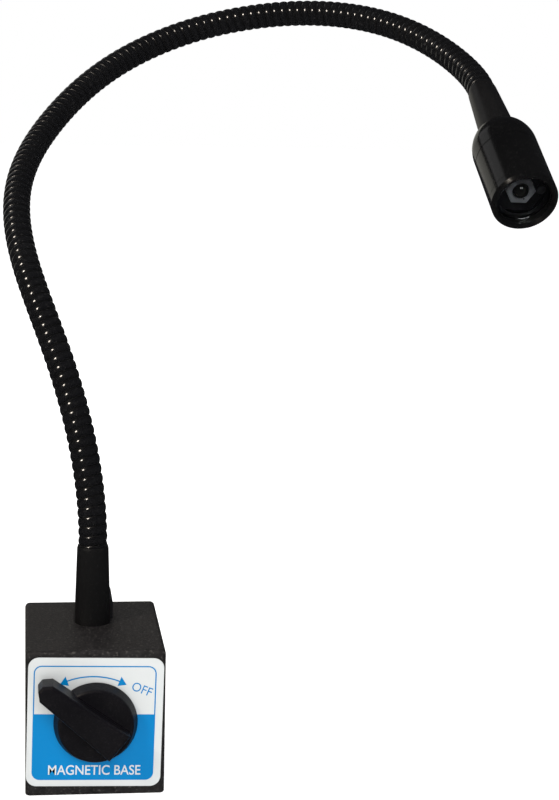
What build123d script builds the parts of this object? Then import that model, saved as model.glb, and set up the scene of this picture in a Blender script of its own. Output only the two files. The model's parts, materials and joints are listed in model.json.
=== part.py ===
from build123d import *
import os

# Work lamp on a switchable magnet block. Millimetres, +Z up, label and knob at the front (-Y).
# The origin is the middle of the magnet's gripping face, the underside of the block.

# Magnet block
block_width = 50.0
block_depth = 60.0
block_height = 54.0
block_round = 1.8
foot_round = 0.6
strip_width = 2.0
axis_height = 27.7
bore_radius = 14.5
end_plate_thickness = 5.0
rod_radius = 2.5
rod_spots = [(-20.0, 6.5), (20.0, 6.5), (-20.0, 48.0), (20.0, 48.0)]
rod_length = 48.0
screw_radius = 1.5
screw_length = 9.0
screw_head_radius = 3.0
screw_head_height = 1.8
screw_offset = 2.2

# Turning magnet
rotor_clearance = 0.3
rotor_cap_thickness = 3.0
magnet_thickness = 12.0
shaft_radius = 4.0
shaft_clearance = 0.05
pivot_radius = 3.0
square_size = 5.6

# Label and knob
label_width = 48.25
label_height = 48.2
label_centre = (-0.25, 27.5)
label_thickness = 0.25
label_round = 3.8
label_tilt = -1.2
label_hole = 6.5
knob_gap = 0.8
knob_radius = 15.0
knob_front_radius = 13.3
knob_thickness = 4.4
lever_angle = 141.0
lever_reach = 25.4
lever_tail = 10.6
lever_tail_width = 11.6
lever_end_width = 7.5
lever_tip_width = 2.4
lever_tip_cut = 2.7
lever_height = 10.0
lever_skirt = 1.2
knob_grub_radius = 1.3

# Neck
neck_y = 4.5
neck_radius = 5.4
neck_bore = 3.1
neck_start = 83.4
socket_depth = 11.0
hinge_count = 10
joint_gap = 0.3
seat_step = 0.06
lead_radius = 1.1
lead_start = 58.2
lead_back = 15.2
light_direction = Vector(0.0, -0.867, -0.499).normalized()
neck_points = [
    (0.0, neck_y, neck_start),
    (-5.9, 12.2, 128.7),
    (-18.5, 33.7, 167.4),
    (-28.5, 66.5, 197.7),
    (-21.5, 105.0, 223.9),
    (-0.6, 138.0, 248.1),
    (32.6, 159.2, 268.8),
    (76.2, 161.3, 281.2),
    (115.9, 138.5, 281.6),
    (144.1, 103.3, 269.4),
    (154.9, 63.6, 250.4),
]

# Ferrules
ferrule_foot_radius = 6.75
ferrule_mouth_radius = 5.85
ferrule_rim = 1.0
ferrule_rim_radius = 5.6
ferrule_fit = 0.05
wire_bore = 2.4
spigot_radius = 4.0
spigot_length = 8.0
grub_radius = 1.3
grub_key = 0.7

# Power inlet behind the lower ferrule
inlet_x = 1.5
inlet_width = 12.5
inlet_back = 25.0
inlet_height = 7.8
inlet_round = 1.6
plug_radius = 2.8
sleeve_radius = 3.3
inlet_depth = 9.5
pin_radius = 1.05

# Lamp head, stations along its own axis from the end of the neck
head_radius = 12.25
head_mouth_radius = 5.7
head_ferrule = 30.0
head_ferrule_radius = 7.0
dome_end = 42.5
seam = 48.0
shoulder_step = 0.3
collar_radius = 5.0
collar_length = 6.0
wire_room = 8.0
lead_hole = 1.6
thread_length = 4.0
bezel_start = 73.0
head_end = 77.0
shelf_start = 62.5
shelf_end = 65.5
thread_radius = 11.0
cavity_radius = 10.3
window_radius = 9.8
lens_radius = 10.2
lens_back = 71.0
lens_crown = 1.2
seal_radius = 0.9
star_radius = 9.6
board_thickness = 1.6
board_screw_offset = 7.2
package_size = 5.2
package_thickness = 1.6
die_radius = 2.9
dome_radius = 2.8


def turned(plane, *sections):
    """A stack of round sections, each (start, end, start radius, end radius) along the plane's normal."""
    solid = Part()
    for low, high, start_radius, end_radius in sections:
        if abs(start_radius - end_radius) < 1e-6:
            piece = Cylinder(start_radius, high - low)
        else:
            piece = Cone(start_radius, end_radius, high - low)
        solid += plane * Pos(0, 0, (low + high) / 2) * piece
    return solid


def along_y(low, high, radius, x=0.0, z=0.0):
    """A round bar parallel to Y."""
    return turned(Plane(origin=(x, 0, z), x_dir=(1, 0, 0), z_dir=(0, 1, 0)), (low, high, radius, radius))


def link(arc, radius, bore=0.0, root=None, tail=None):
    """One stretch of a bending tube: a ball at its far end sits in the hollowed start of the next.

    root and tail are (low, high) straight runs along the arc's ends, on the stretches that have them.
    """
    along = Plane(origin=arc @ 0, z_dir=arc % 0)
    start = Plane(origin=arc @ 0, z_dir=(0, 0, 1)) if root else along
    end = Plane(origin=arc @ 1, z_dir=light_direction if tail else arc % 1)
    inner = radius - seat_step
    hole = bore + seat_step
    solid = sweep(along * Circle(radius), path=arc)
    if root:
        solid += turned(start, (*root, inner, inner))
    if tail:
        solid += turned(end, (*tail, inner, inner))
    else:
        solid += end * Sphere(inner)
    if bore:
        solid -= sweep(along * Circle(bore), path=arc)
        solid -= turned(end, (-0.5, tail[1] if tail else radius + 1, hole, hole))
        if root:
            solid -= turned(start, (*root, hole, hole))
    if not root:
        solid -= start * Sphere(radius + joint_gap)
    return solid


neck_route = Spline(*neck_points)
neck_length = neck_route.length
hinge_spacing = neck_length / hinge_count
head_plane = Plane(origin=neck_points[-1], x_dir=(1, 0, 0), z_dir=light_direction)
front = Plane(origin=(0, 0, axis_height), x_dir=(1, 0, 0), z_dir=(0, -1, 0))


def on_route(distance):
    """The point of the neck's middle line at this distance from the lower ferrule."""
    return neck_route.position_at(distance, position_mode=PositionMode.LENGTH)


def hinge_distance(index):
    """Distance along the neck of each bending point, counted from 1."""
    return (index - 0.5) * hinge_spacing


def stretch(index):
    """The middle line between bending point index and the next, as one arc."""
    low = hinge_distance(index) if index > 0 else 0.0
    high = hinge_distance(index + 1) if index < hinge_count else neck_length
    return ThreePointArc(on_route(low), on_route((low + high) / 2), on_route(high))


def make_poles():
    block = Pos(0, 0, block_height / 2) * Box(block_width, block_depth, block_height)
    block = fillet(block.edges().filter_by(Axis.Z) + block.edges().group_by(Axis.Z)[-1], block_round)
    block = fillet(block.edges().group_by(Axis.Z)[0], foot_round)
    block -= along_y(-block_depth / 2, block_depth / 2, bore_radius, z=axis_height)
    stand = Plane(origin=(0, neck_y, 0))
    block -= turned(stand, (block_height - spigot_length, block_height + 1, spigot_radius, spigot_radius))
    for y, z in rod_spots:
        block -= Pos(0, y, z) * Rot(0, 90, 0) * Cylinder(rod_radius, block_width + 2)
    for screw in make_rear_screws().values():
        block -= screw
    strip = Box(strip_width, block_depth, block_height, align=(Align.CENTER, Align.CENTER, Align.MIN))
    half = Box(block_width / 2, block_depth, block_height, align=(Align.MIN, Align.CENTER, Align.MIN))
    strips = block & strip
    return {
        "pole_left": block & (Pos(-block_width / 2 - strip_width / 2, 0, 0) * half),
        "pole_right": block & (Pos(strip_width / 2, 0, 0) * half),
        "strip_top": strips.solids().sort_by(Axis.Z)[-1],
        "strip_bottom": strips.solids().sort_by(Axis.Z)[0],
    }


def make_rods():
    rods = {}
    for number, (y, z) in enumerate(rod_spots, 1):
        rods[f"tie_rod_{number}"] = Pos(0, y, z) * Rot(0, 90, 0) * Cylinder(rod_radius, rod_length)
    return rods


def make_rear_screws():
    """Two screws at the rim of the rear plate, with heads that lap over it."""
    screws = {}
    back = block_depth / 2
    for number, side in enumerate((-1, 1), 1):
        x = side * (bore_radius + screw_offset)
        shank = along_y(back - screw_length, back, screw_radius, x, axis_height)
        head = along_y(back, back + screw_head_height, screw_head_radius, x, axis_height)
        slot = Pos(x, back + screw_head_height, axis_height) * Box(0.8, 1.4, 2 * screw_head_radius + 1)
        screws[f"rear_screw_{number}"] = shank + head - slot
    return screws


def make_end_plates():
    edge = block_depth / 2
    bearing = along_y(-edge, end_plate_thickness - edge, bore_radius, z=axis_height)
    bearing -= along_y(-edge, end_plate_thickness - edge, shaft_radius + shaft_clearance, z=axis_height)
    rear = along_y(edge - end_plate_thickness, edge, bore_radius, z=axis_height)
    rear -= along_y(edge - end_plate_thickness, edge - 1.0, pivot_radius + shaft_clearance, z=axis_height)
    return {"front_bearing": bearing, "rear_plate": rear}


def make_rotor():
    """The bar magnet between two iron shoes, capped front and rear by the shaft and the pivot."""
    inside = block_depth / 2 - end_plate_thickness - rotor_clearance
    core = inside - rotor_cap_thickness
    radius = bore_radius - rotor_clearance
    drum = along_y(-core, core, radius, z=axis_height)
    bar = Pos(0, 0, axis_height) * Box(magnet_thickness, 2 * core, 2 * radius)
    shoes = (drum - bar).solids().sort_by(Axis.X)
    shaft = along_y(-inside, -core, radius - 0.5, z=axis_height)
    shaft += along_y(-block_depth / 2 - knob_gap, -inside, shaft_radius, z=axis_height)
    square_end = block_depth / 2 + knob_gap
    shaft += Pos(0, -square_end - 2.1, axis_height) * Box(square_size, 4.2, square_size)
    pivot = along_y(core, inside, radius - 0.5, z=axis_height)
    pivot += along_y(inside, block_depth / 2 - 1.2, pivot_radius, z=axis_height)
    return {
        "rotor_magnet": drum & bar,
        "rotor_shoe_1": shoes[0],
        "rotor_shoe_2": shoes[-1],
        "drive_shaft": shaft,
        "rear_pivot": pivot,
    }


def make_knob():
    """A round knob with a lever bar across it, which points past its rim, and its grub screw below."""
    back = front.offset(block_depth / 2 + knob_gap)
    disc = turned(back, (0, knob_thickness, knob_radius, knob_front_radius))
    disc = fillet(disc.edges().sort_by(Axis.Y)[0], 1.2)
    start, shoulder = -lever_tail, lever_reach - lever_tip_cut
    tail, end, tip = lever_tail_width / 2, lever_end_width / 2, lever_tip_width / 2
    outline = Polyline(
        (start, -tail), (shoulder, -end), (lever_reach, -tip),
        (lever_reach, tip), (shoulder, end), (start, tail), close=True,
    )
    lever = extrude(make_face(outline), lever_height - lever_skirt)
    lever = fillet(lever.edges().group_by(Axis.Z)[-1], 1.1)
    knob = disc + back * Rot(0, 0, lever_angle) * Pos(0, 0, lever_skirt) * lever
    socket = back * Pos(0, 0, 2.1) * Box(square_size, square_size, 4.2)
    down = Plane(origin=back.offset(2.2).origin, z_dir=(0, 0, -1))
    radius = knob_grub_radius
    hole = turned(down, (square_size / 2, knob_radius + 1, radius, radius))
    screw = turned(down, (square_size / 2, 8.0, radius, radius)) - turned(down, (6.5, 8.0, grub_key, grub_key))
    return {"knob": knob - socket - hole, "knob_grub_screw": screw}


def make_label():
    x, z = label_centre
    face = Plane(origin=(x, -block_depth / 2, z), x_dir=(1, 0, 0), z_dir=(0, -1, 0))
    sheet = face * Rot(0, 0, label_tilt) * RectangleRounded(label_width, label_height, label_round)
    plate = extrude(sheet, label_thickness)
    return plate - along_y(-block_depth, 0, label_hole, z=axis_height)


def make_lower_ferrule():
    stand = Plane(origin=(0, neck_y, 0))
    rim = neck_start - ferrule_rim
    socket = neck_radius + ferrule_fit
    ferrule = turned(
        stand,
        (block_height - spigot_length, block_height, spigot_radius, spigot_radius),
        (block_height, rim, ferrule_foot_radius, ferrule_mouth_radius),
        (rim, neck_start, ferrule_mouth_radius, ferrule_rim_radius),
    )
    ferrule -= turned(stand, (neck_start - socket_depth, neck_start, socket, socket))
    ferrule -= turned(stand, (lead_start - wire_bore, neck_start, wire_bore, wire_bore))
    ferrule -= along_y(neck_y, neck_y + 10, wire_bore, z=lead_start)
    low, high = neck_y + socket, neck_y + ferrule_mouth_radius + 0.3
    grub_height = neck_start - socket_depth / 2
    hole = along_y(low, high, grub_radius, z=grub_height)
    grub = hole - along_y(high - 0.5, high, grub_key, z=grub_height)
    return {"lower_ferrule": ferrule - hole, "lower_grub_screw": grub}


def make_inlet():
    """The moulded pod behind the ferrule, with a barrel socket that opens to the rear."""
    front_y = neck_y + 3.0
    length = inlet_back - front_y
    socket_start = inlet_back - inlet_depth
    middle = (inlet_x, front_y + length / 2, block_height + inlet_height / 2)
    pod = Pos(*middle) * Box(inlet_width, length, inlet_height)
    pod = fillet(pod.edges().filter_by(Axis.Y).group_by(Axis.Z)[-1], inlet_round)
    pod = fillet(pod.edges().group_by(Axis.Y)[-1].group_by(Axis.Z)[-1], 0.8)
    foot, mouth = ferrule_foot_radius + ferrule_fit, ferrule_mouth_radius + ferrule_fit
    pod -= turned(Plane(origin=(0, neck_y, 0)), (block_height, neck_start - ferrule_rim, foot, mouth))
    pod -= along_y(socket_start, inlet_back, sleeve_radius, inlet_x, lead_start)
    pod -= along_y(neck_y, socket_start, wire_bore, z=lead_start)
    sleeve = along_y(socket_start, inlet_back, sleeve_radius, inlet_x, lead_start)
    sleeve -= along_y(socket_start + 0.8, inlet_back, plug_radius, inlet_x, lead_start)
    pin = along_y(socket_start + 0.8, inlet_back - 0.8, pin_radius, inlet_x, lead_start)
    return {"inlet_pod": pod, "inlet_sleeve": sleeve, "inlet_pin": pin}


def make_neck():
    """The hollow neck and the two-core lead inside it, each cut into stretches at the bending points."""
    pieces = {}
    for index in range(hinge_count + 1):
        neck_ends = {}
        lead_ends = {}
        if index == 0:
            neck_ends["root"] = (-socket_depth, 0.5)
            lead_ends["root"] = (lead_start - neck_start, 0.5)
        if index == hinge_count:
            neck_ends["tail"] = (-0.5, socket_depth - 1)
            lead_ends["tail"] = (-0.5, shelf_start - 1)
        pieces[f"neck_link_{index:02d}"] = link(stretch(index), neck_radius, neck_bore, **neck_ends)
        pieces[f"lead_link_{index:02d}"] = link(stretch(index), lead_radius, **lead_ends)
    pieces["lead_link_00"] += along_y(neck_y, lead_back, lead_radius, z=lead_start)
    return pieces


def make_head_shells():
    socket = neck_radius + ferrule_fit
    collar_end = head_ferrule + collar_length
    ferrule = turned(
        head_plane,
        (0, ferrule_rim, ferrule_rim_radius, head_mouth_radius),
        (ferrule_rim, head_ferrule, head_mouth_radius, head_ferrule_radius),
        (head_ferrule, collar_end, collar_radius, collar_radius),
    )
    ferrule -= turned(head_plane, (0, socket_depth, socket, socket))
    ferrule -= turned(head_plane, (0, collar_end, wire_bore, wire_bore))
    shoulder = head_ferrule_radius + shoulder_step
    outline = [
        Line((0, head_ferrule), (shoulder, head_ferrule)),
        TangentArc((head_radius, dome_end), (shoulder, head_ferrule), tangent=(0, -1)),
        Polyline((head_radius, dome_end), (head_radius, seam - 0.2), (head_radius - 0.3, seam), (0, seam)),
        Line((0, seam), (0, head_ferrule)),
    ]
    profile = head_plane * Plane.XZ * make_face(Curve() + outline)
    rear = revolve(profile, Axis(head_plane.origin, head_plane.z_dir))
    rear -= turned(head_plane, (head_ferrule, collar_end, collar_radius, collar_radius))
    rear -= turned(head_plane, (collar_end, seam, wire_room, wire_room))
    rear -= turned(head_plane, (seam - thread_length, seam, thread_radius, thread_radius))
    barrel = turned(
        head_plane,
        (seam - thread_length, seam, thread_radius, thread_radius),
        (seam, seam + 0.3, head_radius - 0.3, head_radius),
        (seam + 0.3, bezel_start - 0.2, head_radius, head_radius),
        (bezel_start - 0.2, bezel_start, head_radius, head_radius - 0.2),
    )
    barrel -= turned(
        head_plane,
        (seam - thread_length, shelf_start, wire_room, wire_room),
        (shelf_start, shelf_end, lead_hole, lead_hole),
        (shelf_end, bezel_start, cavity_radius, cavity_radius),
    )
    barrel -= turned(head_plane, (bezel_start - thread_length, bezel_start, thread_radius, thread_radius))
    bezel = turned(
        head_plane,
        (bezel_start - thread_length, bezel_start, thread_radius, thread_radius),
        (bezel_start, head_end - 1.2, head_radius, head_radius),
        (head_end - 1.2, head_end, head_radius, head_radius - 0.9),
    )
    bezel -= turned(head_plane, (bezel_start - thread_length, bezel_start, cavity_radius, cavity_radius))
    bezel -= turned(head_plane, (bezel_start, head_end - 1, window_radius, window_radius))
    bezel -= turned(head_plane, (head_end - 1, head_end, window_radius, window_radius + 0.8))
    for spot in board_screw_spots():
        barrel -= board_screw_shank(spot)
    # the grub screw sits underneath
    under = Plane(origin=head_plane.offset(socket_depth / 2).origin, z_dir=-head_plane.y_dir)
    hole_end = head_mouth_radius + 0.5
    hole = turned(under, (socket, hole_end, grub_radius, grub_radius))
    grub = hole - turned(under, (hole_end - 0.5, hole_end, grub_key, grub_key))
    return {
        "upper_ferrule": ferrule - hole,
        "upper_grub_screw": grub,
        "head_rear": rear,
        "head_barrel": barrel,
        "head_bezel": bezel,
    }


def board_screw_spots():
    return [head_plane * Pos(side * board_screw_offset, 0, shelf_end) for side in (-1, 1)]


def board_screw_shank(spot):
    return spot * Pos(0, 0, board_thickness / 2 - 0.5) * Cylinder(0.8, board_thickness + 1.0)


def make_optics():
    board_top = shelf_end + board_thickness
    package_top = board_top + package_thickness
    die = package_top - 0.8
    lens = turned(head_plane, (lens_back, bezel_start, lens_radius, lens_radius))
    crown_base = window_radius - 0.3
    ball_radius = (crown_base**2 + lens_crown**2) / (2 * lens_crown)
    ball = head_plane * Pos(0, 0, bezel_start + lens_crown - ball_radius) * Sphere(ball_radius)
    lens += ball & turned(head_plane, (bezel_start, bezel_start + lens_crown, crown_base, crown_base))
    ring_radius = lens_radius - seal_radius - 0.05
    seal = head_plane * Pos(0, 0, lens_back - seal_radius) * Torus(ring_radius, seal_radius)
    board = extrude(head_plane * Pos(0, 0, shelf_end) * RegularPolygon(star_radius, 6), board_thickness)
    package = extrude(head_plane * Pos(0, 0, board_top) * RegularPolygon(package_size, 6), package_thickness)
    package -= turned(head_plane, (die, package_top, die_radius, die_radius))
    dome = head_plane * Pos(0, 0, die) * Sphere(dome_radius)
    dome &= turned(head_plane, (die, die + dome_radius, die_radius, die_radius))
    pieces = {"lens": lens, "lens_seal": seal, "led_board": board, "led_package": package, "led_dome": dome}
    for number, spot in enumerate(board_screw_spots(), 1):
        shank = board_screw_shank(spot)
        pieces["led_board"] -= shank
        pieces[f"board_screw_{number}"] = shank + spot * Pos(0, 0, board_thickness + 0.5) * Cylinder(1.5, 1.0)
    return pieces


parts = {}
parts.update(make_poles())
parts.update(make_rods())
parts.update(make_rear_screws())
parts.update(make_end_plates())
parts.update(make_rotor())
parts.update(make_knob())
parts["label_plate"] = make_label()
parts.update(make_lower_ferrule())
parts.update(make_inlet())
parts.update(make_neck())
parts.update(make_head_shells())
parts.update(make_optics())

os.makedirs("parts", exist_ok=True)
for name, solid in parts.items():
    export_step(solid, f"parts/{name}.step")

for index in range(1, hinge_count + 1):
    spot = on_route(hinge_distance(index))
    along = neck_route.tangent_at(hinge_distance(index), position_mode=PositionMode.LENGTH)
    print("hinge", index, [round(v, 4) for v in spot], [round(v, 5) for v in along])
print("neck length", round(neck_length, 1))
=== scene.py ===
import json
from math import cos, pi, radians, sin

import bmesh
import bpy
import numpy
from mathutils import Matrix, Vector


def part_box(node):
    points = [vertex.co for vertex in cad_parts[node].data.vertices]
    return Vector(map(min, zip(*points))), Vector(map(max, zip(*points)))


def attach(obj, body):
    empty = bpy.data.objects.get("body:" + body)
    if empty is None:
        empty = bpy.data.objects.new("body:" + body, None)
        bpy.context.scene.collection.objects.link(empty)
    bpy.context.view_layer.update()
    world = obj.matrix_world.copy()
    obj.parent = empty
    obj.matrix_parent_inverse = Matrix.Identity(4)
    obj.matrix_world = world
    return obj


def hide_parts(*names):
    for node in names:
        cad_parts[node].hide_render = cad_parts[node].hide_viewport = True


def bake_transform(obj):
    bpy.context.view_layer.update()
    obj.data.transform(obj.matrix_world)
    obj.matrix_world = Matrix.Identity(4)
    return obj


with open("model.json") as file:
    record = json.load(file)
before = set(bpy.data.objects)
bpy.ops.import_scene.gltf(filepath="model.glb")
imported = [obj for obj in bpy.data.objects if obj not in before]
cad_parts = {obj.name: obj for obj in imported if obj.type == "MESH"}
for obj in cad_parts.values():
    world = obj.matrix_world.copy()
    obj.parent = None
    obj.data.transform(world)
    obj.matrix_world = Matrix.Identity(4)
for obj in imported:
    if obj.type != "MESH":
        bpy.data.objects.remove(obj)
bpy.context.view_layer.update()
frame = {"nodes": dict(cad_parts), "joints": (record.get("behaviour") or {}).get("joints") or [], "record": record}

mm = 0.001
nodes = frame["nodes"]
record = frame["record"]
scene = bpy.context.scene
mounts = {mount["name"]: mount for mount in record["mounts"]}


# material building blocks

def newGroup(name, inputs, outputs):
    group = bpy.data.node_groups.new(name, "ShaderNodeTree")
    for label, kind, value in inputs:
        socket = group.interface.new_socket(name=label, in_out="INPUT", socket_type="NodeSocket" + kind)
        if value is not None:
            socket.default_value = value
    for label in outputs:
        group.interface.new_socket(name=label, in_out="OUTPUT", socket_type="NodeSocketFloat")
    return group, group.nodes.new("NodeGroupInput").outputs, group.nodes.new("NodeGroupOutput").inputs


def feed(tree, socket, value):
    if isinstance(value, bpy.types.NodeSocket):
        tree.links.new(value, socket)
    elif isinstance(value, (tuple, list)) and socket.type == "RGBA":
        socket.default_value = (*value[:3], 1.0)
    else:
        socket.default_value = value


def addMath(tree, operation, *values):
    node = tree.nodes.new("ShaderNodeMath")
    node.operation = operation
    for index, value in enumerate(values):
        feed(tree, node.inputs[index], value)
    return node.outputs[0]


def addNoise(tree, vector, scale, detail=2.0, roughness=0.5):
    node = tree.nodes.new("ShaderNodeTexNoise")
    feed(tree, node.inputs["Vector"], vector)
    feed(tree, node.inputs["Scale"], scale)
    node.inputs["Detail"].default_value = detail
    node.inputs["Roughness"].default_value = roughness
    return node.outputs["Fac"]


def addRange(tree, value, low, high, newLow=0.0, newHigh=1.0):
    node = tree.nodes.new("ShaderNodeMapRange")
    for index, setting in enumerate((value, low, high, newLow, newHigh)):
        feed(tree, node.inputs[index], setting)
    return node.outputs[0]


def addMix(tree, mask, first, second):
    node = tree.nodes.new("ShaderNodeMix")
    node.data_type = "RGBA"
    feed(tree, node.inputs["Factor"], mask)
    feed(tree, node.inputs[6], first)
    feed(tree, node.inputs[7], second)
    return node.outputs[2]


def addVector(tree, operation, *values):
    node = tree.nodes.new("ShaderNodeVectorMath")
    node.operation = operation
    for index, value in enumerate(values):
        feed(tree, node.inputs[index], value)
    return node.outputs[0]


def makeGrainGroup():
    # fine grain: rounded bumps with a sharper tooth on them, and the tops of the bumps as flecks
    group, given, result = newGroup(
        "surfaceGrain",
        [("Vector", "Vector", None), ("Scale", "Float", 900.0), ("Tooth", "Float", 0.3)],
        ["Height", "Fleck"],
    )
    soft = addNoise(group, given["Vector"], given["Scale"])
    sharp = addNoise(group, given["Vector"], addMath(group, "MULTIPLY", given["Scale"], 2.7), 3.0, 0.7)
    feed(group, result["Height"], addMath(group, "MULTIPLY_ADD", sharp, given["Tooth"], soft))
    feed(group, result["Fleck"], addRange(group, soft, 0.58, 0.7))
    return group


def makeHandlingGroup():
    # broad uneven patches left by hands and cloths, with fine dust lying in them
    group, given, result = newGroup(
        "handling",
        [("Vector", "Vector", None), ("Scale", "Float", 40.0), ("Contrast", "Float", 0.25)],
        ["Patch", "Dust"],
    )
    broad = addNoise(group, given["Vector"], given["Scale"], 4.0, 0.6)
    low = addMath(group, "SUBTRACT", 0.5, given["Contrast"])
    high = addMath(group, "ADD", 0.5, given["Contrast"])
    patch = addRange(group, broad, low, high)
    specks = addNoise(group, given["Vector"], addMath(group, "MULTIPLY", given["Scale"], 40.0), 2.0, 0.6)
    feed(group, result["Patch"], patch)
    feed(group, result["Dust"], addMath(group, "MULTIPLY", addRange(group, specks, 0.6, 0.75), patch))
    return group


def makeEdgeGroup():
    # how near a point of a box is to the nearest of the box's edges, broken up by noise
    group, given, result = newGroup(
        "boxEdge",
        [
            ("Vector", "Vector", None), ("Centre", "Vector", (0, 0, 0)), ("Half Size", "Vector", (1, 1, 1)),
            ("Width", "Float", 0.001), ("Breakup", "Float", 450.0),
        ],
        ["Edge"],
    )
    spread = addVector(group, "ABSOLUTE", addVector(group, "SUBTRACT", given["Vector"], given["Centre"]))
    depth = group.nodes.new("ShaderNodeSeparateXYZ")
    feed(group, depth.inputs[0], addVector(group, "SUBTRACT", given["Half Size"], spread))
    x, y, z = depth.outputs
    # the middle one of the three depths is the distance to the nearest edge
    pairs = [addMath(group, "MAXIMUM", a, b) for a, b in ((x, y), (y, z), (x, z))]
    nearest = addMath(group, "MINIMUM", addMath(group, "MINIMUM", pairs[0], pairs[1]), pairs[2])
    noise = addNoise(group, given["Vector"], given["Breakup"], 4.0, 0.65)
    reach = addMath(group, "MULTIPLY", given["Width"], addRange(group, noise, 0.4, 0.7, 0.0, 1.6))
    feed(group, result["Edge"], addRange(group, nearest, reach, 0.0))
    return group


grainGroup = makeGrainGroup()
handlingGroup = makeHandlingGroup()
edgeGroup = makeEdgeGroup()


def placeGroup(tree, group, vector, **values):
    node = tree.nodes.new("ShaderNodeGroup")
    node.node_tree = group
    feed(tree, node.inputs["Vector"], vector)
    for label, value in values.items():
        feed(tree, node.inputs[label.replace("_", " ")], value)
    return node.outputs


def newMaterial(name, settings):
    material = bpy.data.materials.new(name)
    material.use_nodes = True
    tree = material.node_tree
    shader = tree.nodes["Principled BSDF"].inputs
    shader["Roughness"].default_value = settings["rough"][0]
    shader["Metallic"].default_value = settings.get("metallic", 0.0)
    shader["IOR"].default_value = settings.get("ior", 1.5)
    shader["Specular IOR Level"].default_value = settings.get("specular", 0.5)
    shader["Coat Weight"].default_value = settings.get("coat", 0.0)
    shader["Coat Roughness"].default_value = settings.get("coatRough", 0.1)
    place = tree.nodes.new("ShaderNodeTexCoord").outputs["Object"]
    stretch = tree.nodes.new("ShaderNodeMapping")
    stretch.inputs["Scale"].default_value = settings.get("stretch", (1, 1, 1))
    stretch.inputs["Rotation"].default_value = settings.get("turn", (0, 0, 0))
    feed(tree, stretch.inputs["Vector"], place)
    return material, tree, shader, place, stretch.outputs[0]


def makeFinish(name, settings):
    material, tree, shader, place, stretched = newMaterial(name, settings)
    tooth = settings.get("tooth", 0.3)
    grain = placeGroup(tree, grainGroup, stretched, Scale=settings["grain"], Tooth=tooth)
    hand = placeGroup(tree, handlingGroup, place, Scale=settings.get("patch", 40.0))
    colour = addMix(tree, hand["Patch"], settings["base"], settings["second"])
    flecks = addMath(tree, "MULTIPLY", grain["Fleck"], settings.get("fleck", 0.0))
    colour = addMix(tree, flecks, colour, settings.get("fleckTone", settings["second"]))
    dust = addMath(tree, "MULTIPLY", hand["Dust"], settings.get("dust", 0.1))
    colour = addMix(tree, dust, colour, settings.get("dustTone", (0.22, 0.21, 0.2)))
    feed(tree, shader["Base Color"], colour)
    rough = addRange(tree, hand["Patch"], 0.0, 1.0, *settings["rough"])
    feed(tree, shader["Roughness"], addMath(tree, "MULTIPLY_ADD", dust, 0.5, rough))
    bump = tree.nodes.new("ShaderNodeBump")
    bump.inputs["Distance"].default_value = settings["height"]
    feed(tree, bump.inputs["Height"], grain["Height"])
    feed(tree, shader["Normal"], bump.outputs[0])
    return material, tree, shader, place, colour


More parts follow.
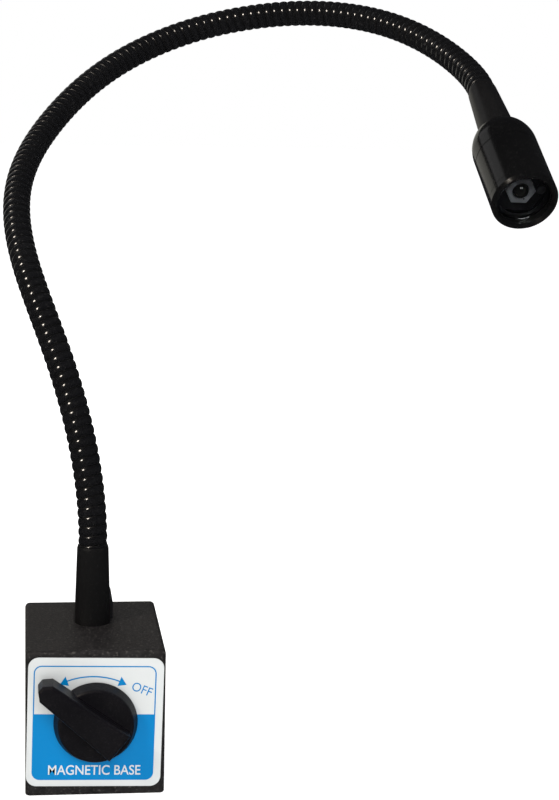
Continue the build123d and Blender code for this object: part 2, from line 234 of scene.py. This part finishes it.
finishSettings = {
    "plain_steel": {
        "base": (0.4, 0.4, 0.41), "second": (0.3, 0.3, 0.31), "rough": (0.28, 0.42), "metallic": 1.0,
        "grain": 700.0, "height": 0.02 * mm,
    },
    "soft_iron": {
        "base": (0.3, 0.3, 0.31), "second": (0.22, 0.22, 0.225), "rough": (0.35, 0.5), "metallic": 1.0,
        "grain": 900.0, "height": 0.02 * mm, "stretch": (1, 0.1, 1),
    },
    "ferrite": {
        "base": (0.045, 0.045, 0.048), "second": (0.06, 0.06, 0.062), "rough": (0.55, 0.7),
        "grain": 1400.0, "height": 0.04 * mm,
    },
    "brass": {
        "base": (0.56, 0.4, 0.15), "second": (0.42, 0.29, 0.11), "rough": (0.25, 0.4), "metallic": 1.0,
        "grain": 800.0, "height": 0.01 * mm,
    },
    "turned_aluminium": {
        "base": (0.55, 0.55, 0.56), "second": (0.42, 0.42, 0.43), "rough": (0.3, 0.42), "metallic": 1.0,
        "grain": 1200.0, "height": 0.02 * mm, "stretch": (1, 0.15, 1),
    },
    "nickel": {
        "base": (0.6, 0.58, 0.54), "second": (0.5, 0.48, 0.45), "rough": (0.12, 0.22), "metallic": 1.0,
        "grain": 600.0, "height": 0.005 * mm,
    },
    "lead_rubber": {
        "base": (0.02, 0.02, 0.02), "second": (0.03, 0.03, 0.03), "rough": (0.6, 0.7),
        "grain": 900.0, "height": 0.02 * mm,
    },
    "seal_rubber": {
        "base": (0.012, 0.012, 0.012), "second": (0.018, 0.018, 0.018), "rough": (0.55, 0.65),
        "grain": 1500.0, "height": 0.01 * mm,
    },
    "knob_plastic": {
        "base": (0.0035, 0.0032, 0.0045), "second": (0.0055, 0.005, 0.0065), "rough": (0.42, 0.52),
        "specular": 0.25, "grain": 1500.0, "tooth": 0.6, "height": 0.05 * mm, "patch": 60.0,
        "fleck": 0.4, "fleckTone": (0.018, 0.017, 0.019),
    },
    "pod_plastic": {
        "base": (0.008, 0.008, 0.009), "second": (0.012, 0.012, 0.013), "rough": (0.42, 0.52),
        "grain": 2200.0, "height": 0.03 * mm,
    },
    "black_ferrule": {
        "base": (0.0042, 0.0041, 0.0042), "second": (0.006, 0.0058, 0.006), "rough": (0.3, 0.38),
        "specular": 0.35, "grain": 1800.0, "height": 0.02 * mm, "stretch": (1, 1, 0.15),
    },
    "black_anodised": {
        "base": (0.002, 0.002, 0.0021), "second": (0.0035, 0.0035, 0.0036), "rough": (0.13, 0.18),
        "grain": 1800.0, "height": 0.01 * mm, "patch": 35.0,
    },
    "board_metal": {
        "base": (0.02, 0.02, 0.022), "second": (0.03, 0.03, 0.032), "rough": (0.35, 0.45),
        "grain": 900.0, "height": 0.01 * mm,
    },
    "led_ceramic": {
        "base": (0.75, 0.76, 0.77), "second": (0.62, 0.62, 0.64), "rough": (0.35, 0.5),
        "grain": 900.0, "height": 0.02 * mm,
    },
    "led_silicone": {
        "base": (0.05, 0.047, 0.03), "second": (0.03, 0.028, 0.02), "rough": (0.1, 0.2),
        "grain": 900.0, "height": 0.005 * mm, "coat": 0.6, "coatRough": 0.03,
    },
    "labelWhite": {
        "base": (0.55, 0.57, 0.57), "second": (0.52, 0.54, 0.545), "rough": (0.3, 0.4), "specular": 0.15,
        "grain": 700.0, "height": 0.012 * mm, "patch": 50.0, "dust": 0.05,
    },
    "labelBlue": {
        "base": (0.0, 0.176, 0.44), "second": (0.0, 0.165, 0.41), "rough": (0.28, 0.38), "specular": 0.1,
        "grain": 900.0, "height": 0.01 * mm, "patch": 60.0, "dust": 0.03,
    },
}
finishes = {name: makeFinish(name, settings)[0] for name, settings in finishSettings.items()}

blockPaint = {
    "base": (0.0065, 0.006, 0.0063),
    "second": (0.02, 0.0185, 0.019),
    "rough": (0.5, 0.62),
    "specular": 0.3,
    "grain": 1000.0,
    "tooth": 0.6,
    "height": 0.16 * mm,
    "patch": 420.0,
    "fleck": 0.8,
    "fleckTone": (0.06, 0.056, 0.053),
    "dust": 0.1,
    "edgeWidth": 0.7 * mm,
    "edgeWear": 0.2,
    "edgeTone": (0.03, 0.029, 0.028),
    "groundTone": (0.42, 0.42, 0.43),
    "groundDepth": 0.05 * mm,
}


def findGround(tree, place, level):
    # the gripping face, which is all that lies below this level
    split = tree.nodes.new("ShaderNodeSeparateXYZ")
    feed(tree, split.inputs[0], place)
    return addMath(tree, "LESS_THAN", split.outputs[2], level)


def makeBlockPaint(settings, low, high):
    # textured black paint, rubbed a little along the block's edges, and the gripping face ground bare
    material, tree, shader, place, colour = makeFinish("block_paint", settings)
    edge = placeGroup(
        tree, edgeGroup, place,
        Centre=(low + high) / 2, Half_Size=(high - low) / 2, Width=settings["edgeWidth"],
    )["Edge"]
    worn = addMath(tree, "MULTIPLY", edge, settings["edgeWear"])
    colour = addMix(tree, worn, colour, settings["edgeTone"])
    ground = findGround(tree, place, low.z + settings["groundDepth"])
    feed(tree, shader["Base Color"], addMix(tree, ground, colour, settings["groundTone"]))
    feed(tree, shader["Metallic"], ground)
    return material


def makeStripBrass(paint, settings, low):
    # the strip between the iron halves is painted over above and shows as bare brass on the gripping face
    material, tree, shader, place, colour = makeFinish("strip_paint", paint)
    ground = findGround(tree, place, low.z + paint["groundDepth"])
    feed(tree, shader["Base Color"], addMix(tree, ground, colour, settings["base"]))
    feed(tree, shader["Metallic"], ground)
    return material


lensGlass = {
    "tone": (0.93, 0.95, 0.96),
    "ior": 1.49,
    "rough": (0.01, 0.04),
    "patch": 120.0,
    "dust": 0.08,
}


def makeLensGlass(settings):
    material, tree, shader, place, _ = newMaterial("lens_glass", settings)
    feed(tree, shader["Base Color"], settings["tone"])
    shader["Transmission Weight"].default_value = 1.0
    hand = placeGroup(tree, handlingGroup, place, Scale=settings["patch"])
    rough = addRange(tree, hand["Patch"], 0.0, 1.0, *settings["rough"])
    feed(tree, shader["Roughness"], addMath(tree, "MULTIPLY_ADD", hand["Dust"], settings["dust"], rough))
    return material


def makeNeckFinish(settings):
    # glossy black plating, rubbed on the crowns of the turns; down in the groove the colour is painted darker as
    # shade, and the finish is duller there
    material, tree, shader, place, colour = makeFinish("neck_coil", settings)
    crest = tree.nodes.new("ShaderNodeAttribute")
    crest.attribute_name = "crest"
    height = crest.outputs["Fac"]
    rubbed = addMath(tree, "MULTIPLY", addRange(tree, height, settings["rubFrom"], 1.0), settings["rub"])
    colour = addMix(tree, rubbed, colour, settings["rubTone"])
    # painted shade: the colour darkens towards the bottom of the groove, which is also made rougher and left
    # without coat
    grooveShadeAndDull = addRange(tree, height, settings["grooveShadeAndDullBelow"], 0.0)
    feed(tree, shader["Base Color"], addMix(tree, grooveShadeAndDull, colour, settings["grooveShadeTone"]))
    rough = addRange(tree, grooveShadeAndDull, 0.0, 1.0, settings["rough"][0], settings["grooveRough"])
    feed(tree, shader["Roughness"], rough)
    feed(tree, shader["Coat Weight"], addRange(tree, grooveShadeAndDull, 0.0, 1.0, settings["coat"], 0.0))
    return material


neckPlating = {
    "base": (0.003, 0.003, 0.0034),
    "second": (0.0045, 0.0045, 0.005),
    "rough": (0.16, 0.22),
    "coat": 0.2,
    "coatRough": 0.08,
    "grain": 500.0,
    "tooth": 0.1,
    "height": 0.01 * mm,
    "patch": 22.0,
    "rub": 0.3,
    "rubFrom": 0.8,
    "rubTone": (0.008, 0.008, 0.0085),
    # painted shade in the groove: below this crest height the colour is darkened to a painted shade tone, and the
    # roughness rises
    "grooveShadeAndDullBelow": 0.45,
    "grooveShadeTone": (0.003, 0.003, 0.003),
    "grooveRough": 0.6,
}

blockLow = Vector(map(min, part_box("pole_left")[0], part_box("pole_right")[0]))
blockHigh = Vector(map(max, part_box("pole_left")[1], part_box("pole_right")[1]))
finishes["block_paint"] = makeBlockPaint(blockPaint, blockLow, blockHigh)
finishes["brass_strip"] = makeStripBrass(blockPaint, finishSettings["brass"], blockLow)
finishes["lens_glass"] = makeLensGlass(lensGlass)
finishes["neck_coil"] = makeNeckFinish(neckPlating)
finishes["printed_label"] = finishes["labelWhite"]

for entry in record["subparts"]:
    mesh = nodes[entry["node"]].data
    mesh.materials.clear()
    mesh.materials.append(finishes[entry["material_slot"]])
print("finishes placed:", len(finishes))


# shapes

def makePiece(name, bm, finish, smoothAngle=35.0):
    mesh = bpy.data.meshes.new(name)
    bm.to_mesh(mesh)
    bm.free()
    mesh.materials.append(finishes[finish])
    mesh.shade_smooth()
    mesh.set_sharp_from_angle(angle=radians(smoothAngle))
    piece = bpy.data.objects.new(name, mesh)
    scene.collection.objects.link(piece)
    return piece


neckCoil = {
    "turnsPerStretch": 13,
    "hiddenTurns": 3,
    "crownRadius": 5.4 * mm,
    "shoulderRadius": 5.08 * mm,
    "grooveRadius": 4.85 * mm,
    "grooveWidth": 0.6 * mm,
    "crownPoints": 9,
    "stepsPerTurn": 56,
    "smoothAngle": 40.0,
    "lensToNeck": 75.4 * mm,
    "routePoints": 4001,
    "endStep": 0.1 * mm,
    "endSteps": 140,
}
neckJoints = [joint for joint in frame["joints"] if joint["name"] != "knob_turn"]


def makeRoute(settings):
    # a smooth line out of the lower ferrule, through every bending point and into the upper ferrule
    low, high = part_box("lower_ferrule")
    output = mounts["light_output"]
    lightAxis = numpy.array(output["axis"])
    points = numpy.array([
        [(low.x + high.x) / 2, (low.y + high.y) / 2, high.z],
        *[joint["pos_m"] for joint in neckJoints],
        numpy.array(output["pos_m"]) - settings["lensToNeck"] * lightAxis,
    ])
    gaps = numpy.linalg.norm(numpy.diff(points, axis=0), axis=1)
    knots = numpy.concatenate(([0.0], numpy.cumsum(gaps)))
    system = numpy.eye(len(points))
    right = numpy.zeros((len(points), 3))
    right[0] = (0, 0, 1)
    right[-1] = lightAxis
    for i in range(1, len(points) - 1):
        before, after = gaps[i - 1], gaps[i]
        system[i, i - 1:i + 2] = (after, 2 * (before + after), before)
        arriving, leaving = points[i] - points[i - 1], points[i + 1] - points[i]
        right[i] = 3 * (after / before * arriving + before / after * leaving)
    slopes = numpy.linalg.solve(system, right)
    fine = numpy.linspace(0.0, knots[-1], settings["routePoints"])
    spot = numpy.clip(numpy.searchsorted(knots, fine, "right") - 1, 0, len(gaps) - 1)
    gap = gaps[spot][:, None]
    t = ((fine - knots[spot]) / gaps[spot])[:, None]
    line = (
        (1 + 2 * t) * (1 - t) ** 2 * points[spot] + t * (1 - t) ** 2 * gap * slopes[spot]
        + t * t * (3 - 2 * t) * points[spot + 1] - t * t * (1 - t) * gap * slopes[spot + 1]
    )
    # straight ends run on inside both ferrules
    reach = numpy.arange(1, settings["endSteps"] + 1)[:, None] * settings["endStep"]
    line = numpy.vstack((line[0] - reach[::-1] * right[0], line, line[-1] + reach * lightAxis))
    along = numpy.concatenate(([0.0], numpy.cumsum(numpy.linalg.norm(numpy.diff(line, axis=0), axis=1))))
    along -= along[len(reach)]
    tangent = numpy.gradient(line, along, axis=0)
    tangent /= numpy.linalg.norm(tangent, axis=1)[:, None]
    side = numpy.zeros_like(line)
    side[0] = (1, 0, 0)
    for i in range(1, len(line)):
        turned = side[i - 1] - tangent[i] * (side[i - 1] @ tangent[i])
        side[i] = turned / numpy.linalg.norm(turned)
    route = {"along": along, "line": line, "side": side, "other": numpy.cross(tangent, side)}
    route["length"] = along[-1 - len(reach)]
    return route


def onRoute(route, key, distance):
    values = [numpy.interp(distance, route["along"], route[key][:, k]) for k in range(3)]
    return numpy.stack(values, axis=-1)


def makeCoil(settings, turns, pitch):
    # one closed tube with a helical groove: a crowned edge spun round and along the axis
    half = pitch / 2
    shoulder = half - settings["grooveWidth"] / 2
    crown = settings["crownRadius"] - settings["shoulderRadius"]
    wall = half - 0.4 * (half - shoulder)
    between = (settings["grooveRadius"] + settings["shoulderRadius"]) / 2
    profile = [(settings["grooveRadius"], -half), (between, -wall)]
    for i in range(settings["crownPoints"]):
        t = 2 * i / (settings["crownPoints"] - 1) - 1
        profile.append((settings["crownRadius"] - crown * t * t, t * shoulder))
    profile += [(between, wall), (settings["grooveRadius"], half)]
    oneTurn = bmesh.new()
    verts = [oneTurn.verts.new((radius, 0, along)) for radius, along in profile]
    edges = [oneTurn.edges.new(pair) for pair in zip(verts, verts[1:])]
    bmesh.ops.spin(
        oneTurn, geom=verts + edges, cent=(0, 0, 0), axis=(0, 0, 1), angle=2 * pi,
        dvec=(0, 0, pitch / settings["stepsPerTurn"]), steps=settings["stepsPerTurn"], use_merge=False,
    )
    bm = bmesh.new()
    stamp = bpy.data.meshes.new("turn")
    for _ in range(turns):
        oneTurn.to_mesh(stamp)
        bm.from_mesh(stamp)
        bmesh.ops.translate(oneTurn, verts=oneTurn.verts[:], vec=(0, 0, pitch))
    bpy.data.meshes.remove(stamp)
    oneTurn.free()
    bmesh.ops.remove_doubles(bm, verts=bm.verts[:], dist=1e-6)
    rims = [edge for edge in bm.edges if edge.is_boundary]
    middle = turns * pitch / 2
    for rim, depth in (
        ([edge for edge in rims if edge.verts[0].co.z < middle], 0.0),
        ([edge for edge in rims if edge.verts[0].co.z > middle], turns * pitch),
    ):
        cap = bmesh.ops.extrude_edge_only(bm, edges=rim)["geom"]
        centre = [item for item in cap if isinstance(item, bmesh.types.BMVert)]
        bmesh.ops.pointmerge(bm, verts=centre, merge_co=(0, 0, depth))
    bmesh.ops.recalc_face_normals(bm, faces=bm.faces[:])
    return bm


def makeNeck(settings):
    route = makeRoute(settings)
    count = len(neckJoints)
    stretch = route["length"] / count
    pitch = stretch / settings["turnsPerStretch"]
    plain = makeCoil(settings, settings["turnsPerStretch"], pitch)
    ended = makeCoil(settings, settings["turnsPerStretch"] + settings["hiddenTurns"], pitch)
    for index in range(1, count + 1):
        start = (index - 1) * stretch
        atEnd = index in (1, count)
        bm = (ended if atEnd else plain).copy()
        name = f"neckStretch{index:02d}"
        piece = makePiece(name, bm, "neck_coil", settings["smoothAngle"])
        mesh = piece.data
        spots = numpy.zeros(len(mesh.vertices) * 3)
        mesh.vertices.foreach_get("co", spots)
        spots = spots.reshape(-1, 3)
        radius = numpy.linalg.norm(spots[:, :2], axis=1)
        depth = settings["crownRadius"] - settings["grooveRadius"]
        crest = mesh.attributes.new("crest", "FLOAT", "POINT")
        crest.data.foreach_set("value", numpy.clip((radius - settings["grooveRadius"]) / depth, 0, 1))
        along = spots[:, 2] + start
        if index == 1:
            along -= settings["hiddenTurns"] * pitch
        placed = (
            onRoute(route, "line", along) + spots[:, :1] * onRoute(route, "side", along)
            + spots[:, 1:2] * onRoute(route, "other", along)
        )
        mesh.vertices.foreach_set("co", placed.ravel())
        mesh.update()
        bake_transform(piece)
        hidden = [f"neck_link_{index:02d}"]
        if index == 1:
            hidden.append("neck_link_00")
        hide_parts(*hidden)
    plain.free()
    ended.free()
    print("neck coiled:", count, "stretches,", round(route["length"], 4), "m long")


makeNeck(neckCoil)


# the printed label

labelPrint = {
    "inkStep": 0.02 * mm,
    "borderLayers": 1.4,
    "left": -22.15 * mm,
    "right": 21.5 * mm,
    "top": 21.2 * mm,
    "bottom": -21.75 * mm,
    "corner": 2.9 * mm,
    "lineWidth": 0.45 * mm,
    "panelTop": 3.1 * mm,
    "tilt": -1.2,
    "arcCentre": (-0.95 * mm, -8.55 * mm),
    "arcRadius": 25.75 * mm,
    "arcFrom": 68.9,
    "arcTo": 111.1,
    "arcWidth": 0.5 * mm,
    "headLength": 2.9 * mm,
    "headHalf": 1.85 * mm,
    "headLean": 0.3 * mm,
    "arcSteps": 48,
    "offCentre": (16.5 * mm, 12.55 * mm),
    "offSize": (7.4 * mm, 3.3 * mm),
    "offTurn": -21.0,
    "titleCentre": (0.3 * mm, -17.95 * mm),
    "titleSize": (33.1 * mm, 3.7 * mm),
    "titleWeight": 0.008,
}
labelLow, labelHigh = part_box("label_plate")
labelPlace = (
    Matrix.Translation(((labelLow.x + labelHigh.x) / 2, labelLow.y, (labelLow.z + labelHigh.z) / 2))
    @ Matrix.Rotation(radians(90), 4, "X") @ Matrix.Rotation(radians(labelPrint["tilt"]), 4, "Z")
)


def flatShape(outline):
    bm = bmesh.new()
    bm.faces.new([bm.verts.new((x, y, 0)) for x, y in outline])
    return bm


def roundCorners(bm, keep, radius):
    corners = [vert for vert in bm.verts if keep(vert.co)]
    bmesh.ops.bevel(
        bm, geom=corners, offset=radius, offset_type="OFFSET", affect="VERTICES", segments=10, profile=0.5,
        material=-1,
    )


def inkUp(bm, thickness):
    # gives flat faces the thickness of a layer of ink and lays them on the label
    grown = bmesh.ops.extrude_face_region(bm, geom=bm.faces[:])["geom"]
    lifted = [item for item in grown if isinstance(item, bmesh.types.BMVert)]
    bmesh.ops.translate(bm, verts=lifted, vec=(0, 0, thickness))
    bmesh.ops.recalc_face_normals(bm, faces=bm.faces[:])
    bmesh.ops.transform(bm, matrix=labelPlace, verts=bm.verts[:])


def makeLettering(name, words, size, centre, turn, weight, finish, level, thickness):
    curve = bpy.data.curves.new(name, "FONT")
    curve.body = words
    curve.offset = weight
    curve.align_x = "CENTER"
    curve.extrude = 0.5
    maker = bpy.data.objects.new(name, curve)
    scene.collection.objects.link(maker)
    bpy.context.view_layer.update()
    mesh = bpy.data.meshes.new_from_object(maker.evaluated_get(bpy.context.evaluated_depsgraph_get()))
    bpy.data.objects.remove(maker)
    bm = bmesh.new()
    bm.from_mesh(mesh)
    bpy.data.meshes.remove(mesh)
    bmesh.ops.remove_doubles(bm, verts=bm.verts[:], dist=1e-5)
    low = Vector([min(vert.co[k] for vert in bm.verts) for k in range(3)])
    high = Vector([max(vert.co[k] for vert in bm.verts) for k in range(3)])
    scale = (size[0] / (high.x - low.x), size[1] / (high.y - low.y), thickness / (high.z - low.z))
    place = (
        labelPlace @ Matrix.Translation((*centre, level + thickness / 2))
        @ Matrix.Rotation(radians(turn), 4, "Z") @ Matrix.Diagonal((*scale, 1))
        @ Matrix.Translation(-(low + high) / 2)
    )
    bmesh.ops.transform(bm, matrix=place, verts=bm.verts[:])
    piece = makePiece(name, bm, finish, 1.0)
    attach(piece, "base")


def makeLabelPrint(settings):
    ink = settings["inkStep"]
    left, right, top, bottom = (settings[side] for side in ("left", "right", "top", "bottom"))
    level = settings["panelTop"]
    panel = flatShape([(left, bottom), (right, bottom), (right, level), (left, level)])
    roundCorners(panel, lambda spot: spot.y < 0, settings["corner"])
    inkUp(panel, ink)
    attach(makePiece("labelPanel", panel, "labelBlue"), "base")

    line = flatShape([(left, bottom), (right, bottom), (right, top), (left, top)])
    roundCorners(line, lambda spot: True, settings["corner"])
    bmesh.ops.inset_region(
        line, faces=line.faces[:], thickness=settings["lineWidth"], use_boundary=True, use_even_offset=True
    )
    inner = max(line.faces, key=lambda face: len(face.verts))
    bmesh.ops.delete(line, geom=[inner], context="FACES_ONLY")
    inkUp(line, ink * settings["borderLayers"])
    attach(makePiece("labelBorder", line, "labelBlue"), "base")

    arrow = bmesh.new()
    centre = Vector((*settings["arcCentre"], 0))
    radius, width = settings["arcRadius"], settings["arcWidth"]
    first, last = radians(settings["arcFrom"]), radians(settings["arcTo"])
    ray = Vector((cos(first), sin(first), 0))
    ends = [arrow.verts.new(centre + ray * (radius + side * width / 2)) for side in (-1, 1)]
    edge = arrow.edges.new(ends)
    bmesh.ops.spin(
        arrow, geom=ends + [edge], cent=centre, axis=(0, 0, 1), dvec=(0, 0, 0),
        angle=last - first, steps=settings["arcSteps"], use_merge=False,
    )
    for angle, turn in ((first, -1), (last, 1)):
        ray = Vector((cos(angle), sin(angle), 0))
        ahead = Vector((-sin(angle), cos(angle), 0)) * turn
        root = centre + ray * radius
        tip = root + ahead * settings["headLength"] - ray * settings["headLean"]
        across = ray * settings["headHalf"]
        arrow.faces.new([arrow.verts.new(spot) for spot in (root - across, root + across, tip)])
    bmesh.ops.recalc_face_normals(arrow, faces=arrow.faces[:])
    inkUp(arrow, ink)
    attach(makePiece("labelArrow", arrow, "labelBlue"), "base")

    makeLettering(
        "labelOff", "OFF", settings["offSize"], settings["offCentre"], settings["offTurn"], 0.0,
        "labelBlue", 0.0, ink,
    )
    makeLettering(
        "labelTitle", "MAGNETIC BASE", settings["titleSize"], settings["titleCentre"], 0.0,
        settings["titleWeight"], "labelWhite", ink, ink,
    )
    print("label printed")


makeLabelPrint(labelPrint)


# floor, lights and camera

stageSettings = {
    "floorSize": 12.0,
    "paper": (0.86, 0.86, 0.86),
    "fleckShade": 0.985,
    "litRadius": (0.25, 0.6),
    "roomTone": (0.12, 0.125, 0.13),
    "mirroredTone": (0.02, 0.02, 0.022),
    "glow": (0.62, 1.0),
}
lampSettings = {
    "keyLamp": {
        "at": (-0.87, -0.67, 0.9), "size": (0.26, 0.26), "watts": 9.0, "tone": (1.0, 0.9, 0.78),
    },
    "softFront": {
        "at": (0.1, -1.3, 0.9), "size": (0.9, 0.7), "watts": 16.0, "tone": (0.96, 0.98, 1.0),
        "mirrored": False,
    },
    "softTop": {
        "at": (0.1, 0.2, 1.3), "size": (1.0, 0.8), "watts": 9.0, "tone": (1.0, 1.0, 1.0),
        "mirrored": False,
    },
    "backCard": {
        "at": (-0.25, 1.4, 0.38), "size": (1.3, 0.55), "watts": 0.9, "tone": (1.0, 0.98, 0.88),
        "seen": False,
    },
    "sideCard": {
        "at": (-0.62, 1.1, 1.0), "size": (0.5, 0.6), "watts": 0.3, "tone": (1.0, 1.0, 1.0),
        "seen": False,
    },
}
lampTarget = Vector((0.05, 0.03, 0.12))
cameraSettings = {
    "location": (-25.0 * mm, -607.761 * mm, 253.173 * mm),
    "yaw": 0.103988,
    "pitch": 0.189862,
    "roll": 0.01906,
    "lens": 76.8187,
    "sensor": 36.0,
    "clip": (0.01, 50.0),
    "shift": (0.09948, 0.010714),
}


def makeStage(settings):
    material = bpy.data.materials.new("paperSweep")
    material.use_nodes = True
    tree = material.node_tree
    shader = tree.nodes["Principled BSDF"].inputs
    place = tree.nodes.new("ShaderNodeTexCoord").outputs["Object"]
    grain = placeGroup(tree, grainGroup, place, Scale=400.0)
    tone = tuple(channel * settings["fleckShade"] for channel in settings["paper"])
    feed(tree, shader["Base Color"], addMix(tree, grain["Fleck"], settings["paper"], tone))
    shader["Roughness"].default_value = 0.9
    shader["Specular IOR Level"].default_value = 0.1
    # away from the object the paper is evenly bright, so that it runs into the background
    length = tree.nodes.new("ShaderNodeVectorMath")
    length.operation = "LENGTH"
    feed(tree, length.inputs[0], place)
    glow = addRange(tree, length.outputs["Value"], *settings["litRadius"], *settings["glow"])
    feed(tree, shader["Emission Color"], addMix(tree, glow, (0, 0, 0), (1, 1, 1)))
    shader["Emission Strength"].default_value = 1.0
    bm = bmesh.new()
    bmesh.ops.create_grid(bm, x_segments=8, y_segments=8, size=settings["floorSize"] / 2)
    mesh = bpy.data.meshes.new("paperFloor")
    bm.to_mesh(mesh)
    bm.free()
    mesh.materials.append(material)
    floor = bpy.data.objects.new("paperFloor", mesh)
    scene.collection.objects.link(floor)
    floor.visible_glossy = False
    floor.visible_transmission = False

    world = bpy.data.worlds.new("studio")
    world.use_nodes = True
    scene.world = world
    tree = world.node_tree
    background = tree.nodes["Background"].inputs
    path = tree.nodes.new("ShaderNodeLightPath").outputs
    room = addMix(tree, path["Is Diffuse Ray"], settings["mirroredTone"], settings["roomTone"])
    feed(tree, background["Color"], addMix(tree, path["Is Camera Ray"], room, (1.0, 1.0, 1.0)))
    background["Strength"].default_value = 1.0


def makeLamps(lamps, target):
    for name, settings in lamps.items():
        light = bpy.data.lights.new(name, "AREA")
        light.shape = "RECTANGLE"
        light.size, light.size_y = settings["size"]
        light.energy = settings["watts"]
        light.color = settings["tone"]
        lamp = bpy.data.objects.new(name, light)
        lamp.location = settings["at"]
        lamp.visible_glossy = settings.get("mirrored", True)
        lamp.visible_camera = settings.get("seen", True)
        lamp.rotation_euler = (target - lamp.location).to_track_quat("-Z", "Y").to_euler()
        scene.collection.objects.link(lamp)


def makeCamera(settings):
    data = bpy.data.cameras.new("camera")
    data.lens = settings["lens"]
    data.sensor_width = settings["sensor"]
    data.shift_x, data.shift_y = settings["shift"]
    data.clip_start, data.clip_end = settings["clip"]
    camera = bpy.data.objects.new("camera", data)
    turn = (
        Matrix.Rotation(-settings["yaw"], 4, "Z") @ Matrix.Rotation(radians(90) - settings["pitch"], 4, "X")
        @ Matrix.Rotation(settings["roll"], 4, "Z")
    )
    camera.matrix_world = Matrix.Translation(settings["location"]) @ turn
    scene.collection.objects.link(camera)
    scene.camera = camera


makeStage(stageSettings)
makeLamps(lampSettings, lampTarget)
makeCamera(cameraSettings)
scene.view_settings.view_transform = "Standard"
print("stage, lamps and camera ready")
